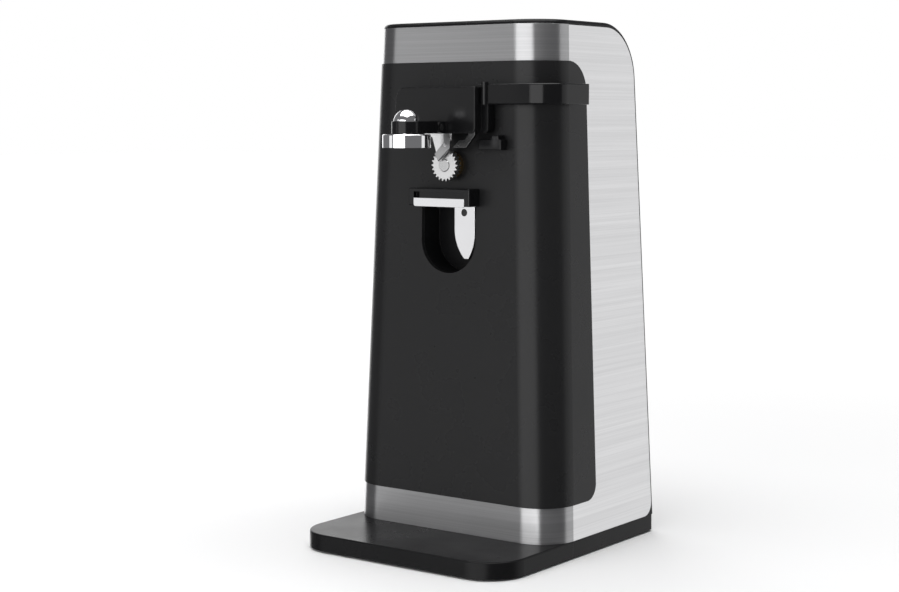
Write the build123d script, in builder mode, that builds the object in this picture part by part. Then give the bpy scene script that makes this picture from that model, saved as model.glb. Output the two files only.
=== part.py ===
"""Electric can opener: a tapered upright body on a foot plate, with a lever-mounted cutter and
lid magnet, a toothed drive wheel turned by a geared motor, and a bottle opener in the front.

Millimetres. +Z is up, the front faces -Y and +X is to the right. The origin is at the centre of
the footprint, on the surface that the rubber feet stand on.
"""
from build123d import *
from math import acos, cos, pi, radians, sin, tan
import os

# ---------------------------------------------------------------- overall sizes
total_height = 230.0
foot_drop = 0.8
base_top = 8.0
base_half_width = 55.4
base_half_depth = 61.85
base_front_radius = 17.6
base_rear_radius = 3.0
base_edge_round = 0.8

# tapered body: front and sides lean inwards towards the top
body_front_low = -23.2
body_front_high = -17.5
body_half_width_high = 47.06
body_rear_high = 53.75
body_front_radius = 16.5
body_top_rear_radius = 24.0
body_edge_round = 2.0
wall = 3.2
base_wall = 2.4

# seam between the front and the rear housing
seam_low = -6.6
seam_high = 0.0

# outer skins
skin = 0.6
band_height = 15.5
rim = 2.1
panel_low_radius = 6.0
fascia_depth = 1.6
fascia_proud = 0.4
fascia_wing_end = 12.0
fascia_top_radius = 12.5
fascia_low_radius = 7.0
fascia_gap = 0.1

# fits
running_fit = 0.06
screw_gap = 0.2
touch_gap = 0.3
far = 300.0

# heights of the working parts, measured down from the top
wheel_drop = 61.6
pivot_drop = 33.0
head_top_drop = 28.2
hood_top_drop = 71.5

# drive wheel
wheel_x = 0.7
wheel_tip_radius = 6.8
wheel_root_radius = 5.9
wheel_teeth = 22
wheel_thickness = 3.0
wheel_standoff = 3.3
shaft_radius = 2.8

# lever
pivot_x = -16.0
pivot_radius = 3.0
head_left = -23.3
head_right = 19.2
head_height = 19.8
head_plate = 4.5
head_standoff = 9.9
head_gap = 0.9
head_corner_radius = 5.0
carrier_right = 22.8
bar_height = 8.8
bar_drop = 27.0
bar_thickness = 4.2
bar_side_wall = 2.4
bar_outer_x = 55.0
bar_corner_radius = 11.5
bar_side_end = 4.5
crank_radius = 15.0

# magnet arm
magnet_x = -2.4
magnet_reach = 19.0
arm_width = 12.7
arm_thickness = 5.2
hinge_offset = 3.0
hinge_pin_radius = 1.25
knuckle_width = 7.3
cup_radius = 10.2
cup_height = 5.6
cup_wall = 1.2
magnet_stem_radius = 2.0
dome_radius = 5.6
dome_height = 5.0

# bottle opener
opener_x = -1.2
opener_half_width = 14.6
opener_height = 29.4
opener_depth = 12.4
hood_half_width = 16.4
hood_height = 7.6
hood_reach = 7.9
lip_height = 3.6
opener_screw_radius = 1.6
opener_screw_drop = 3.6

# gear train
gear_module = 0.8
final_module = 1.0
pressure_angle = radians(25)
addendum = 0.8
dedendum = 1.1
gear_backlash = 0.16
rotor_teeth = 10
gear_1_teeth = 50
gear_1_pinion_teeth = 10
gear_2_teeth = 45
gear_2_pinion_teeth = 11
final_teeth = 50
gear_2_bearing = -60.0
gear_1_bearing = -120.0
rotor_bearing = -102.0
gear_plate_setback = 19.1
gear_plate_thickness = 2.0
gear_side_gap = 1.0
final_face = 6.0
gear_2_face = 4.0
gear_1_face = 3.5
axle_radius = 2.0

# motor
stator_half_width = 26.0
stator_half_height = 20.0
stator_depth = 18.0
stator_core_drop = 53.4
core_height = 12.0
limb_width = 12.0
rotor_radius = 11.2
air_gap = 0.3
coil_thickness = 7.0
motor_shaft_radius = 2.0
motor_screw_x = 20.0
bracket_thickness = 1.5
fan_radius = 17.0
fan_blades = 9

# screws
screw_radius = 1.5
screw_head_radius = 3.0
screw_head_height = 2.2
boss_radius = 5.0


# ---------------------------------------------------------------- places worked out from the sizes
def along(height, low, high):
    """A value that runs evenly from low at the base top to high at the top of the body."""
    return low + (high - low) * (height - base_top) / (total_height - base_top)


def front_at(height):
    return along(height, body_front_low, body_front_high)


def half_width_at(height):
    return along(height, base_half_width, body_half_width_high)


def rear_at(height):
    return along(height, base_half_depth, body_rear_high)


def seam_at(height):
    return along(height, seam_low, seam_high)


wheel_z = total_height - wheel_drop
pivot_z = total_height - pivot_drop
head_top = total_height - head_top_drop
head_low = head_top - head_height
bar_top = total_height - bar_drop
bar_low = bar_top - bar_height
hood_top = total_height - hood_top_drop
hood_low = hood_top - hood_height
opener_screw_z = hood_low - opener_screw_drop
band_low_top = base_top + band_height
band_high_low = total_height - rim - band_height + 0.2
band_high_top = total_height - rim + 0.2

face = front_at(wheel_z) - fascia_proud
wheel_rear = face - wheel_standoff
wheel_front = wheel_rear - wheel_thickness
head_front = front_at(wheel_z) - head_standoff
head_back = head_front + head_plate
carrier_back = front_at(head_low) - fascia_proud - head_gap
gear_plate_front = front_at(wheel_z) + gear_plate_setback
gear_plate_back = gear_plate_front + gear_plate_thickness
side_reach = base_half_width + 20


# ---------------------------------------------------------------- shared shapes
def facing_front(depth):
    """Sketch plane at a depth along Y: X to the right, Z up, extruding towards the front."""
    return Plane.XZ.offset(-depth)


def rod(radius, x, z, front, rear):
    """A round bar along Y between two depths."""
    with BuildPart() as bar:
        with BuildSketch(facing_front(rear)):
            with Locations((x, z)):
                Circle(radius)
        extrude(amount=rear - front)
    return bar.part


def post(radius, x, y, low, high):
    """A round bar along Z between two heights."""
    with BuildPart() as bar:
        with BuildSketch(Plane.XY.offset(low)):
            with Locations((x, y)):
                Circle(radius)
        extrude(amount=high - low)
    return bar.part


def slab(left, right, front, rear, low, high):
    """A plain block between six faces."""
    with BuildPart() as block:
        with Locations(((left + right) / 2, (front + rear) / 2, (low + high) / 2)):
            Box(right - left, rear - front, high - low)
    return block.part


def rear_corner(side_view, end):
    """The rear corner of a side view at its lowest edge (end 0) or its highest (end -1)."""
    return side_view.vertices().group_by(Axis.Y)[end].sort_by(Axis.X)[-1]


def body_outline(height, inset):
    """Plan section of the tapered body, drawn in by inset, with large front corners."""
    left = -half_width_at(height) + inset
    front = front_at(height) + inset
    rear = rear_at(height) - inset
    with BuildSketch(Plane.XY.offset(height)) as outline:
        with BuildLine():
            Polyline((left, front), (-left, front), (-left, rear), (left, rear), close=True)
        make_face()
        fillet(outline.vertices().group_by(Axis.Y)[0], body_front_radius - inset)
    return outline.sketch


def hull(inset, low=base_top):
    """The tapered body as a solid, drawn in by inset at the front, sides, rear and top."""
    top = total_height - inset
    with BuildPart() as body:
        loft([body_outline(low, inset), body_outline(total_height + 1, inset)], ruled=True)
        with BuildSketch(Plane.YZ) as side_view:
            with BuildLine():
                Polyline(
                    (-base_half_depth, low),
                    (rear_at(low) - inset, low),
                    (rear_at(top) - inset, top),
                    (-base_half_depth, top),
                    close=True,
                )
            make_face()
            fillet(rear_corner(side_view, -1), body_top_rear_radius - inset)
        extrude(amount=side_reach, both=True, mode=Mode.INTERSECT)
    return body.part


def base_outline(inset, height):
    """Plan outline of the foot plate, drawn in by inset."""
    with BuildSketch(Plane.XY.offset(height)) as outline:
        Rectangle(2 * (base_half_width - inset), 2 * (base_half_depth - inset))
        fillet(outline.vertices().group_by(Axis.Y)[0], base_front_radius - inset)
        fillet(outline.vertices().group_by(Axis.Y)[-1], base_rear_radius - min(inset, 2.0))
    return outline.sketch


def base_block(inset, low, high):
    with BuildPart() as block:
        add(base_outline(inset, low))
        extrude(amount=high - low)
    return block.part


def fascia_zone(grow):
    """Side view of the wrap-around front panel, carried right across the body."""
    low = band_low_top - grow
    high = band_high_low + grow
    rear = fascia_wing_end + grow
    with BuildPart() as zone:
        with BuildSketch(Plane.YZ) as side_view:
            with BuildLine():
                Polyline(
                    (-base_half_depth, low), (rear, low), (rear, high), (-base_half_depth, high), close=True
                )
            make_face()
            fillet(rear_corner(side_view, 0), fascia_low_radius + grow)
            fillet(rear_corner(side_view, -1), fascia_top_radius + grow)
        extrude(amount=side_reach, both=True)
    return zone.part


def seam_plane():
    """The leaning plane where the housings meet; its normal points to the rear."""
    rise = total_height - base_top
    return Plane(origin=(0, seam_low, base_top), x_dir=(1, 0, 0), z_dir=(0, rise, seam_low - seam_high))


def band(low, high):
    """A thin steel skin around the front and both front corners, ending at the seam."""
    with BuildPart() as strip:
        add(hull_full)
        add(hull_skin, mode=Mode.SUBTRACT)
        add(slab(-side_reach, side_reach, -far, far, low, high), mode=Mode.INTERSECT)
        split(bisect_by=seam_plane(), keep=Keep.BOTTOM)
    return strip.part


def panel_zone():
    """Side view of the steel side panels, one rim width inside the top and rear edges."""
    top = total_height - rim
    with BuildPart() as zone:
        with BuildSketch(Plane.YZ) as side_view:
            with BuildLine():
                Polyline(
                    (-base_half_depth, base_top),
                    (rear_at(base_top) - rim, base_top),
                    (rear_at(top) - rim, top),
                    (-base_half_depth, top),
                    close=True,
                )
            make_face()
            fillet(rear_corner(side_view, 0), panel_low_radius)
            fillet(rear_corner(side_view, -1), body_top_rear_radius - rim)
        extrude(amount=side_reach, both=True)
    return zone.part


def tooth_half_angle(teeth, module, radius):
    """Half the angle that an involute tooth fills at a radius."""
    pitch_radius = teeth * module / 2
    here = acos(min(1.0, pitch_radius * cos(pressure_angle) / radius))
    half_at_pitch = pi / (2 * teeth) - gear_backlash / (4 * pitch_radius)
    return half_at_pitch + (tan(pressure_angle) - pressure_angle) - (tan(here) - here)


def gear_points(teeth, module, centre, phase):
    """The closed outline of a spur gear, with its first tooth at the phase angle in degrees."""
    pitch_radius = teeth * module / 2
    tip = pitch_radius + addendum * module
    root = pitch_radius - dedendum * module
    start = max(root + 0.05, pitch_radius * cos(pressure_angle))
    radii = [start + (tip - start) * step / 3 for step in range(4)]
    points = []
    for tooth in range(teeth):
        middle = radians(phase) + 2 * pi * tooth / teeth
        flank = [(root, tooth_half_angle(teeth, module, start))]
        flank += [(radius, tooth_half_angle(teeth, module, radius)) for radius in radii]
        for radius, half in flank:
            points.append((centre[0] + radius * cos(middle - half), centre[1] + radius * sin(middle - half)))
        for radius, half in reversed(flank):
            points.append((centre[0] + radius * cos(middle + half), centre[1] + radius * sin(middle + half)))
    return points


def spur_gear(teeth, module, centre, phase, front, rear):
    with BuildPart() as gear:
        with BuildSketch(facing_front(rear)):
            with BuildLine():
                Polyline(*gear_points(teeth, module, centre, phase), close=True)
            make_face()
        extrude(amount=rear - front)
    return gear.part


def step_from(centre, distance, bearing):
    """The point at a distance and bearing in degrees from another, seen from the front."""
    return (centre[0] + distance * cos(radians(bearing)), centre[1] + distance * sin(radians(bearing)))


def mesh_phase(teeth, phase, mate_teeth, bearing):
    """First-tooth angle of a mate that lies at a bearing, so that its gap meets the tooth."""
    part_of_tooth = (bearing - phase) * teeth / 360
    return bearing + 180 - (0.5 - part_of_tooth) * 360 / mate_teeth


# ---------------------------------------------------------------- gear train layout
drive_centre = (wheel_x, wheel_z)
gear_2_centre = step_from(
    drive_centre, final_module * (final_teeth + gear_2_pinion_teeth) / 2, gear_2_bearing
)
gear_1_centre = step_from(
    gear_2_centre, gear_module * (gear_2_teeth + gear_1_pinion_teeth) / 2, gear_1_bearing
)
rotor_centre = step_from(gear_1_centre, gear_module * (gear_1_teeth + rotor_teeth) / 2, rotor_bearing)

final_phase = 0.0
gear_2_pinion_phase = mesh_phase(final_teeth, final_phase, gear_2_pinion_teeth, gear_2_bearing)
gear_2_phase = 0.0
gear_1_pinion_phase = mesh_phase(gear_2_teeth, gear_2_phase, gear_1_pinion_teeth, gear_1_bearing)
gear_1_phase = 0.0
rotor_phase = mesh_phase(gear_1_teeth, gear_1_phase, rotor_teeth, rotor_bearing)

final_front = gear_plate_back + 1.5
final_back = final_front + final_face
gear_2_front = final_back + gear_side_gap
gear_2_back = gear_2_front + gear_2_face
gear_1_front = gear_2_back + gear_side_gap
gear_1_back = gear_1_front + gear_1_face
bracket_front = gear_1_back + 2.0
stator_front = bracket_front + bracket_thickness + 2.5
stator_back = stator_front + stator_depth
rear_bracket_front = stator_back + 2.5
fan_front = rear_bracket_front + bracket_thickness + 1.5
fan_back = fan_front + 4.5

hull_full = hull(0)
hull_skin = hull(skin)
hull_fascia_back = hull(fascia_depth)
hull_fascia_front = hull(-fascia_proud)
hull_wall_middle = hull((wall + fascia_depth) / 2)
hull_inside = hull(wall, low=foot_drop - 1)

lower_band_zone = band(base_top, band_low_top)
upper_band_zone = band(band_high_low, band_high_top)

with BuildPart() as fascia_pocket:
    add(hull(-2))
    add(hull_fascia_back, mode=Mode.SUBTRACT)
    add(fascia_zone(fascia_gap), mode=Mode.INTERSECT)

panel_inner_x = half_width_at(total_height) - 4.0
with BuildPart() as panel_skins:
    add(hull_full)
    add(hull_skin, mode=Mode.SUBTRACT)
    add(panel_zone(), mode=Mode.INTERSECT)
    split(bisect_by=seam_plane(), keep=Keep.TOP)
    add(slab(-panel_inner_x, panel_inner_x, -far, far, -far, far), mode=Mode.SUBTRACT)

# ---------------------------------------------------------------- outer body with rounded edges
with BuildPart() as rounded_body:
    add(hull_full)
    top_edges = rounded_body.faces().sort_by(Axis.Z)[-1].edges().sort_by(Axis.Y)
    rounding = list(top_edges[:-1])
    for side in (rounded_body.faces().sort_by(Axis.X)[0], rounded_body.faces().sort_by(Axis.X)[-1]):
        side_edges = side.edges().sort_by(Axis.Y)[1:]
        rounding += [edge for edge in side_edges if edge.center().Z > base_top + 1]
    fillet(rounding, body_edge_round)

with BuildPart() as body_foot:
    add(body_outline(base_top, 0))
    extrude(amount=-1.5)
    add(base_block(0, foot_drop, base_top), mode=Mode.INTERSECT)

with BuildPart() as foot_plate:
    add(base_block(0, foot_drop, base_top))
    free_edges = foot_plate.faces().sort_by(Axis.Z)[-1].edges().sort_by(Axis.Y)[:3]
    fillet(free_edges, base_edge_round)


# ---------------------------------------------------------------- places shared by several pieces
pivot = (pivot_x, pivot_z)
pivot_boss_back = front_at(pivot_z) + 5.5
drive_boss_back = front_at(wheel_z) + 9.0
bushing_radius = 4.5
plate_screw_places = [(x, z) for x in (-27.0, 27.0) for z in (pivot_z - 3.0, rotor_centre[1] - 14.0)]
housing_screw_places = [(-37.0, pivot_z + 3.0), (37.0, pivot_z + 3.0), (-44.0, base_top + 14.0),
                        (44.0, base_top + 14.0)]
cover_low = foot_drop
cover_top = foot_drop + 2.0
cover_inset = base_wall + 0.2
front_cover_screws = [(-28.0, -base_half_depth + 9.5), (28.0, -base_half_depth + 9.5)]
rear_cover_screws = [(-base_half_width + 7.0, 25.0), (base_half_width - 7.0, 25.0)]
foot_radius = 6.0
foot_stem_radius = 1.95
foot_seat = cover_low + 1.0
feet_places = [(x, y) for x in (-base_half_width + 12.0, base_half_width - 12.0)
               for y in (-base_half_depth + 16.0, base_half_depth - 12.0)]
cavity_back = front_at(hood_low) + opener_depth
cavity_floor = hood_low - opener_height + opener_half_width
gland_x = -28.0
gland_z = 30.0
gland_wall = rear_at(gland_z)
gland_hole_radius = 5.0
gland_recess_radius = 8.0
gland_recess_depth = 2.2
guide_x = 23.5
guide_top = wheel_z + 13.0
guide_height = 6.3
guide_ridge = 1.8
guide_pin_radius = 1.5
guide_pin_z = guide_top - 4.0


def opener_mouth(half_width, top, front, rear):
    """The U-shaped way into the bottle opener: straight sides over a half-round floor."""
    with BuildPart() as mouth:
        with BuildSketch(facing_front(rear)):
            with Locations((opener_x, cavity_floor)):
                Circle(half_width)
            with Locations((opener_x, (cavity_floor + top) / 2)):
                Rectangle(2 * half_width, top - cavity_floor)
        extrude(amount=rear - front)
    return mouth.part


def posts_at(places, z_low, z_high, radius, mode=Mode.ADD):
    for x, y in places:
        add(post(radius, x, y, z_low, z_high), mode=mode)


# ---------------------------------------------------------------- housings
mouth_top = hood_low + 4.2
with BuildPart() as shell:
    add(rounded_body.part)
    add(body_foot.part)
    add(foot_plate.part)
    add(hull_inside, mode=Mode.SUBTRACT)
    add(base_block(base_wall, foot_drop - 1, base_top - base_wall), mode=Mode.SUBTRACT)
    add(fascia_pocket.part, mode=Mode.SUBTRACT)
    add(panel_skins.part, mode=Mode.SUBTRACT)
    add(lower_band_zone, mode=Mode.SUBTRACT)
    add(upper_band_zone, mode=Mode.SUBTRACT)

with BuildPart() as front_bosses:
    add(opener_mouth(opener_half_width + 2, mouth_top + 2, face, cavity_back + 2))
    add(rod(3.5, opener_x, opener_screw_z, cavity_back + 1, cavity_back + 4.5))
    add(rod(bushing_radius + 2.5, wheel_x, wheel_z, face, drive_boss_back))
    add(rod(pivot_radius + 2.5, pivot_x, pivot_z, face, pivot_boss_back))
    for x, z in plate_screw_places:
        add(rod(boss_radius - 1.5, x, z, front_at(z), gear_plate_front))
    for x, z in housing_screw_places:
        add(rod(boss_radius, x, z, front_at(z), seam_at(z) - 0.4))
    add(hull_wall_middle, mode=Mode.INTERSECT)

with BuildPart() as front_housing:
    add(shell.part)
    split(bisect_by=seam_plane(), keep=Keep.BOTTOM)
    add(front_bosses.part)
    posts_at(front_cover_screws, cover_top, base_top - base_wall + 0.5, 3.5)
    add(opener_mouth(opener_half_width, mouth_top, -far, cavity_back), mode=Mode.SUBTRACT)
    add(rod(opener_screw_radius, opener_x, opener_screw_z, cavity_back - 1, cavity_back + 4),
        mode=Mode.SUBTRACT)
    add(rod(bushing_radius, wheel_x, wheel_z, -far, drive_boss_back + 1), mode=Mode.SUBTRACT)
    add(rod(pivot_radius + running_fit, pivot_x, pivot_z, -far, pivot_boss_back + 1), mode=Mode.SUBTRACT)
    add(rod(guide_pin_radius, guide_x, guide_pin_z, -far, front_at(guide_top) + 2.8), mode=Mode.SUBTRACT)
    for x, z in plate_screw_places:
        add(rod(screw_radius, x, z, gear_plate_front - 9, gear_plate_front + 1), mode=Mode.SUBTRACT)
    for x, z in housing_screw_places:
        add(rod(screw_radius, x, z, seam_at(z) - 9, seam_at(z) + 1), mode=Mode.SUBTRACT)
    posts_at(front_cover_screws, cover_top - 1, base_top - 1.2, screw_radius, Mode.SUBTRACT)

with BuildPart() as rear_bosses:
    for x, z in housing_screw_places:
        add(rod(boss_radius, x, z, seam_at(z) + 0.4, rear_at(z)))
    add(rod(gland_recess_radius + 2, gland_x, gland_z, gland_wall - wall - 2, gland_wall))
    add(hull_wall_middle, mode=Mode.INTERSECT)

vent_rows = 6
vent_pitch = 6.0
vent_length = 34.0
vent_height = 2.4
with BuildPart() as rear_housing:
    add(shell.part)
    split(bisect_by=seam_plane(), keep=Keep.TOP)
    add(rear_bosses.part)
    posts_at(rear_cover_screws, cover_top, base_top + 8, 4.0)
    for x, z in housing_screw_places:
        add(rod(screw_head_radius + 0.4, x, z, seam_at(z) + 10, rear_at(z) + 5), mode=Mode.SUBTRACT)
        add(rod(screw_radius + 0.3, x, z, seam_at(z) - 1, seam_at(z) + 11), mode=Mode.SUBTRACT)
    add(rod(gland_recess_radius, gland_x, gland_z, gland_wall - gland_recess_depth, gland_wall + 5),
        mode=Mode.SUBTRACT)
    add(rod(gland_hole_radius, gland_x, gland_z, gland_wall - 12, gland_wall + 5), mode=Mode.SUBTRACT)
    posts_at(rear_cover_screws, cover_top - 1, base_top + 3, screw_radius, Mode.SUBTRACT)
    with BuildSketch(facing_front(rear_at(rotor_centre[1]) + 5)):
        with Locations(rotor_centre):
            with GridLocations(0, vent_pitch, 1, vent_rows):
                SlotOverall(vent_length, vent_height)
    extrude(amount=5 + wall + 4, mode=Mode.SUBTRACT)

with BuildPart() as base_cover:
    add(base_block(cover_inset, cover_low, cover_top))
    for x, y in feet_places:
        add(post(foot_radius + 0.05, x, y, cover_low - 1, foot_seat), mode=Mode.SUBTRACT)
        add(post(foot_stem_radius + 0.05, x, y, cover_low, cover_top + 1), mode=Mode.SUBTRACT)
    for x, y in front_cover_screws + rear_cover_screws:
        add(post(screw_radius + screw_gap, x, y, cover_low - 1, cover_top + 1), mode=Mode.SUBTRACT)
        add(post(screw_head_radius, x, y, cover_low - 1, cover_low + 1.1), mode=Mode.SUBTRACT)
    with BuildSketch(Plane.XY.offset(cover_low - 1)):
        with Locations((0, 36.0)):
            with GridLocations(7.0, 0, 7, 1):
                SlotOverall(30.0, 2.6, rotation=90)
    extrude(amount=4, mode=Mode.SUBTRACT)

with BuildPart() as rubber_feet:
    for x, y in feet_places:
        add(post(foot_radius, x, y, 0, foot_seat))
        add(post(foot_stem_radius, x, y, cover_low, cover_top))

with BuildPart() as base_screws:
    for x, y in front_cover_screws:
        add(post(screw_head_radius - 0.2, x, y, cover_low + 0.1, cover_low + 1.1))
        add(post(screw_radius, x, y, cover_low + 1, base_top - 1.3))
    for x, y in rear_cover_screws:
        add(post(screw_head_radius - 0.2, x, y, cover_low + 0.1, cover_low + 1.1))
        add(post(screw_radius, x, y, cover_low + 1, base_top + 2))

with BuildPart() as housing_screws:
    for x, z in housing_screw_places:
        add(rod(screw_head_radius, x, z, seam_at(z) + 10, seam_at(z) + 10 + screw_head_height))
        add(rod(screw_radius, x, z, seam_at(z) - 8, seam_at(z) + 10.5))

# ---------------------------------------------------------------- outer skins
with BuildPart() as lower_steel_band:
    add(lower_band_zone)

with BuildPart() as upper_steel_band:
    add(upper_band_zone)

with BuildPart() as both_panels:
    add(panel_skins.part)
    add(fascia_pocket.part, mode=Mode.SUBTRACT)

with BuildPart() as left_side_panel:
    add(both_panels.part.solids().sort_by(Axis.X)[0])

with BuildPart() as right_side_panel:
    add(both_panels.part.solids().sort_by(Axis.X)[-1])

with BuildPart() as front_fascia:
    add(hull_fascia_front)
    add(hull_fascia_back, mode=Mode.SUBTRACT)
    add(fascia_zone(0), mode=Mode.INTERSECT)
    add(opener_mouth(opener_half_width, mouth_top, -far, 0), mode=Mode.SUBTRACT)
    add(rod(bushing_radius, wheel_x, wheel_z, -far, 0), mode=Mode.SUBTRACT)
    add(rod(pivot_radius + 0.3, pivot_x, pivot_z, -far, 0), mode=Mode.SUBTRACT)
    add(rod(guide_pin_radius, guide_x, guide_pin_z, -far, 0), mode=Mode.SUBTRACT)

# ---------------------------------------------------------------- can guide
guide_low = guide_top - guide_height
guide_shoulder = guide_top - guide_ridge
guide_reach = 6.2
with BuildPart() as can_guide:
    with BuildSketch(facing_front(front_at(guide_low) + 1)):
        with BuildLine():
            Polyline(
                (guide_x - 6.2, guide_low),
                (guide_x + 5.6, guide_low),
                (guide_x + 5.6, guide_shoulder),
                (guide_x + 4.4, guide_shoulder),
                (guide_x + 4.0, guide_top),
                (guide_x + 0.8, guide_top),
                (guide_x + 0.4, guide_shoulder),
                (guide_x - 6.2, guide_shoulder),
                close=True,
            )
        make_face()
    extrude(amount=guide_reach)
    fillet(can_guide.faces().sort_by(Axis.Y)[0].edges(), 0.5)
    add(hull_fascia_front, mode=Mode.SUBTRACT)
    add(rod(guide_pin_radius, guide_x, guide_pin_z, face - 2, front_at(guide_top) + 2.5))

# ---------------------------------------------------------------- bottle opener
hood_front = front_at(hood_low) - hood_reach
lip_thickness = 1.3
lip_half_width = 13.5
plate_thickness = 1.5
tongue_front = cavity_back - plate_thickness
tongue_left = opener_x - 5.2
tongue_right = opener_x + 5.7
tongue_tip_half = 1.1
tongue_low = hood_low - 23.9
tongue_shift = 1.1
tongue_shoulder = hood_low - 11.0
tongue_bend = hood_low - 18.2
lip_top = hood_low + lip_height - 0.3
hood_frame = 1.5

with BuildPart() as bottle_opener_hood:
    add(slab(opener_x - hood_half_width, opener_x + hood_half_width, hood_front, -10, hood_low, hood_top))
    fillet(bottle_opener_hood.faces().sort_by(Axis.Z)[-1].edges().filter_by(Axis.Y), 1.0)
    fillet(bottle_opener_hood.faces().sort_by(Axis.Y)[0].edges(), 0.6)
    add(hull_fascia_front, mode=Mode.SUBTRACT)
    add(slab(opener_x - opener_half_width + 0.1, opener_x + opener_half_width - 0.1,
             face - 1.5, cavity_back, hood_low + plate_thickness, mouth_top - 0.05))
    add(slab(opener_x - lip_half_width, opener_x + lip_half_width, hood_front - 1,
             hood_front + lip_thickness + 0.8, hood_low - 1, hood_top - hood_frame), mode=Mode.SUBTRACT)
    add(slab(opener_x - lip_half_width, opener_x + lip_half_width,
             hood_front - 1, cavity_back + 1, hood_low - 1, hood_low + plate_thickness), mode=Mode.SUBTRACT)

with BuildPart() as lip_strip:
    add(slab(opener_x - lip_half_width, opener_x + lip_half_width,
             hood_front, hood_front + lip_thickness, hood_low - 0.3, lip_top))
    fillet(lip_strip.edges().filter_by(Axis.Y).group_by(Axis.Z)[0], 1.0)

with BuildPart() as bottle_opener_plate:
    add(slab(opener_x - lip_half_width, opener_x + lip_half_width,
             hood_front + 0.1, cavity_back, hood_low, hood_low + plate_thickness))
    add(lip_strip.part)
    with BuildSketch(facing_front(cavity_back)):
        with BuildLine():
            Polyline(
                (tongue_right, hood_low + 0.1),
                (tongue_left, hood_low + 0.1),
                (tongue_left, tongue_shoulder),
            )
            ThreePointArc(
                (tongue_left, tongue_shoulder),
                (tongue_left + 1.5, tongue_bend),
                (opener_x + tongue_shift - tongue_tip_half, tongue_low),
            )
            Line((opener_x + tongue_shift - tongue_tip_half, tongue_low),
                 (opener_x + tongue_shift + tongue_tip_half, tongue_low))
            ThreePointArc(
                (opener_x + tongue_shift + tongue_tip_half, tongue_low),
                (tongue_right - 0.9, tongue_bend),
                (tongue_right, tongue_shoulder),
            )
            Line((tongue_right, tongue_shoulder), (tongue_right, hood_low + 0.1))
        make_face()
    extrude(amount=plate_thickness)
    add(rod(opener_screw_radius, opener_x, opener_screw_z, tongue_front - 1, cavity_back + 1),
        mode=Mode.SUBTRACT)

with BuildPart() as bottle_opener_screw:
    add(rod(opener_screw_radius, opener_x, opener_screw_z, tongue_front + 0.4, cavity_back + 3.5))

# ---------------------------------------------------------------- drive bushing and gear plate
bushing_flange = 5.6
flange_front = face - 2.2
washer_back = flange_front - 0.1
washer_front = washer_back - 0.5
with BuildPart() as drive_bushing:
    add(rod(bushing_flange, wheel_x, wheel_z, flange_front, face + 1))
    add(hull_fascia_front, mode=Mode.SUBTRACT)
    add(rod(bushing_radius, wheel_x, wheel_z, face - 1, drive_boss_back))
    add(rod(shaft_radius + running_fit, wheel_x, wheel_z, -far, far), mode=Mode.SUBTRACT)

plate_half_width = 31.0
plate_low = rotor_centre[1] - 20.0
plate_high = pivot_z + 2.0
with BuildPart() as gear_plate:
    with BuildSketch(facing_front(gear_plate_back)) as outline:
        with Locations((0, (plate_low + plate_high) / 2)):
            RectangleRounded(2 * plate_half_width, plate_high - plate_low, 5.0)
        with Locations(drive_centre):
            Circle(shaft_radius + running_fit, mode=Mode.SUBTRACT)
        for x, z in plate_screw_places:
            with Locations((x, z)):
                Circle(screw_radius + screw_gap, mode=Mode.SUBTRACT)
        for x in (-motor_screw_x, motor_screw_x):
            with Locations((x + rotor_centre[0], rotor_centre[1])):
                Circle(screw_radius, mode=Mode.SUBTRACT)
        with Locations(gear_2_centre, gear_1_centre):
            Circle(axle_radius, mode=Mode.SUBTRACT)
        with Locations((-18.0, (wheel_z + rotor_centre[1]) / 2 - 2.0)):
            SlotOverall(26.0, 12.0, rotation=90, mode=Mode.SUBTRACT)
    extrude(amount=gear_plate_thickness)

with BuildPart() as gear_plate_screws:
    for x, z in plate_screw_places:
        add(rod(screw_head_radius, x, z, gear_plate_back, gear_plate_back + screw_head_height))
        add(rod(screw_radius, x, z, gear_plate_front - 8, gear_plate_back + 0.5))


def axle(centre, back):
    """A stub axle pressed into the gear plate, with a head that keeps its gear on."""
    with BuildPart() as pin:
        add(rod(axle_radius, centre[0], centre[1], gear_plate_front, back + 0.9))
        add(rod(axle_radius + 1.0, centre[0], centre[1], back + 0.3, back + 0.9))
        add(rod(axle_radius + 1.0, centre[0], centre[1], gear_plate_back, gear_plate_back + 0.8))
    return pin.part


with BuildPart() as gear_1_axle:
    add(axle(gear_1_centre, gear_1_back))

with BuildPart() as gear_2_axle:
    add(axle(gear_2_centre, gear_2_back - 0.2))

# ---------------------------------------------------------------- gears
hub_radius = 5.0
final_rim_radius = 20.5
gear_2_rim_radius = 12.5
gear_1_rim_radius = 15.0
final_web_recess = 1.5
with BuildPart() as final_gear:
    add(spur_gear(final_teeth, final_module, drive_centre, final_phase, final_front, final_back))
    for front in (final_front - 1, final_back - final_web_recess):
        add(rod(final_rim_radius, wheel_x, wheel_z, front, front + final_web_recess + 1), mode=Mode.SUBTRACT)
    add(rod(hub_radius + 2.5, wheel_x, wheel_z, final_front, final_back))
    add(rod(shaft_radius, wheel_x, wheel_z, final_front - 1, final_back + 1), mode=Mode.SUBTRACT)

with BuildPart() as intermediate_gear_2:
    add(spur_gear(gear_2_teeth, gear_module, gear_2_centre, gear_2_phase, gear_2_front, gear_2_back))
    add(rod(gear_2_rim_radius, gear_2_centre[0], gear_2_centre[1], gear_2_back - 1.2, gear_2_back + 1),
        mode=Mode.SUBTRACT)
    add(rod(hub_radius, gear_2_centre[0], gear_2_centre[1], gear_2_front, gear_2_back - 0.3))
    add(spur_gear(gear_2_pinion_teeth, final_module, gear_2_centre, gear_2_pinion_phase,
                  final_front, gear_2_front))
    add(rod(axle_radius + running_fit, gear_2_centre[0], gear_2_centre[1], -far, far), mode=Mode.SUBTRACT)

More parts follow.
